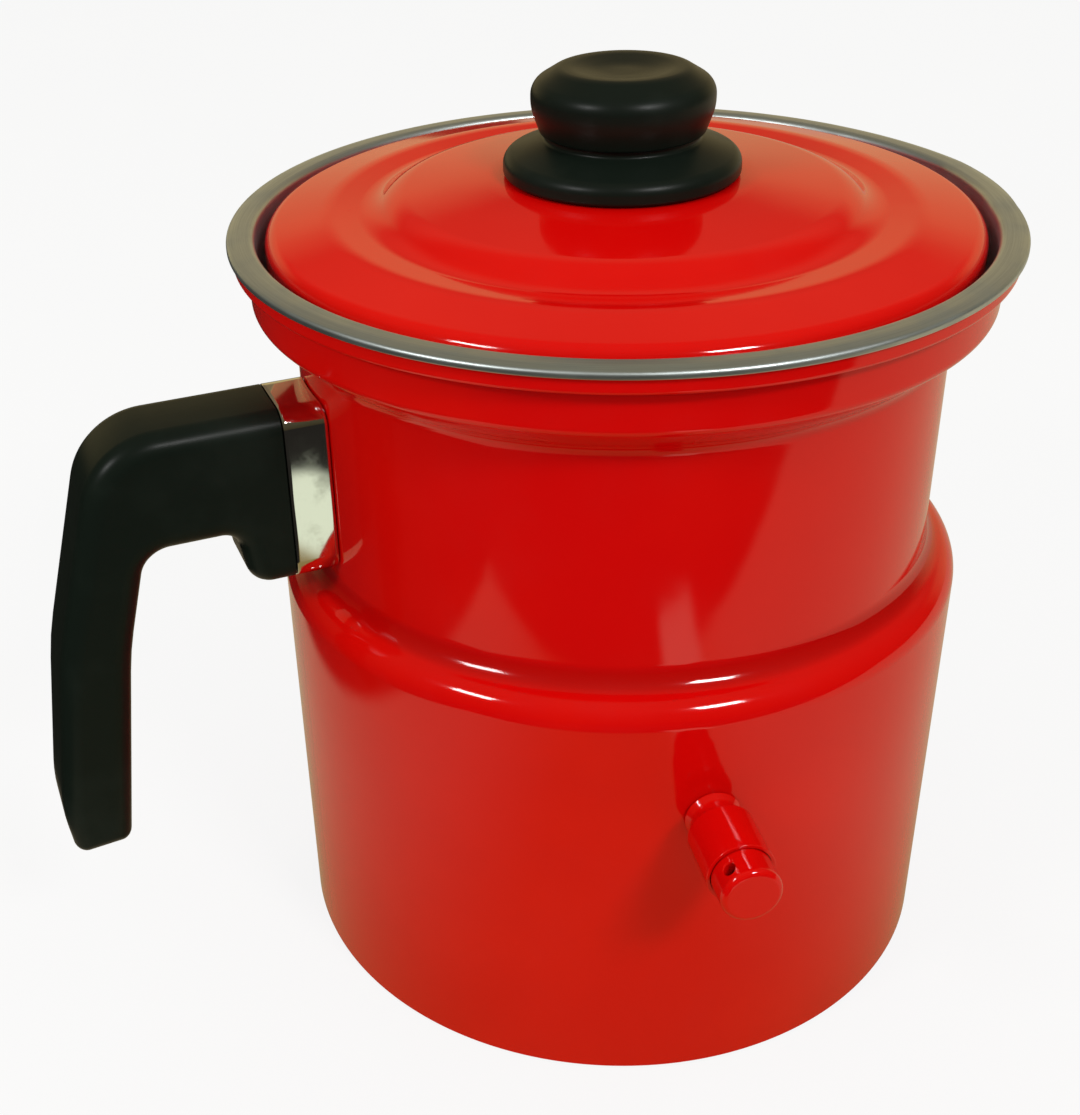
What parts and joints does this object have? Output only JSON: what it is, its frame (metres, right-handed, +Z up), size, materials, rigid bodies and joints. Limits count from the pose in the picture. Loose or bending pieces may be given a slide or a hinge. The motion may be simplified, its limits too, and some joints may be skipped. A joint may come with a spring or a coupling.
{
  "type": "milk boiler",
  "caption": "Double-walled lidded saucepan with a water jacket, a pouring lip, a side handle and a pull-off steam whistle on its filler tube.",
  "frame": {"origin": "middle of the heat disc's flat underside, on the pot's axis", "axes": "+Z up along the pot's axis, -X towards the handle, +X towards the pouring lip; the whistle points mostly to -Y"},
  "size_m": [0.2283, 0.1908, 0.21],
  "materials": {
    "red_lacquer": "glossy red stoving lacquer",
    "satin_steel": "satin stainless steel",
    "base_steel": "brushed steel, lightly heat-worn",
    "base_aluminium": "turned aluminium",
    "black_plastic": "satin black thermoset moulding",
    "guard_chrome": "mirror chrome",
    "insert_brass": "turned brass",
    "seal_rubber": "pale silicone"
  },
  "bodies": {
    "pot_body": {"outer_jacket": "red_lacquer", "inner_pot": "satin_steel", "bottom_plate": "base_steel", "heat_disc": "base_aluminium", "filler_tube": "red_lacquer", "handle_bracket": "base_steel", "handle_guard": "guard_chrome", "handle_grip": "black_plastic", "handle_washer": "satin_steel", "handle_screw": "satin_steel"},
    "lid_body": {"lid": "red_lacquer", "knob": "black_plastic", "knob_insert": "insert_brass", "knob_washer": "satin_steel", "knob_screw": "satin_steel"},
    "whistle_body": {"whistle_sleeve": "red_lacquer", "whistle_barrel": "red_lacquer", "whistle_seal": "seal_rubber", "whistle_front_plate": "satin_steel", "whistle_back_plate": "satin_steel"}
  },
  "joints": [
    {"name": "lid_lift", "type": "slide", "parent": "pot_body", "child": "lid_body", "axis": [0, 0, 1], "range_m": [0, 0.06]},
    {"name": "whistle_pull", "type": "slide", "parent": "pot_body", "child": "whistle_body", "axis": [-0.1736, -0.9848, 0], "range_m": [0, 0.03]}
  ]
}
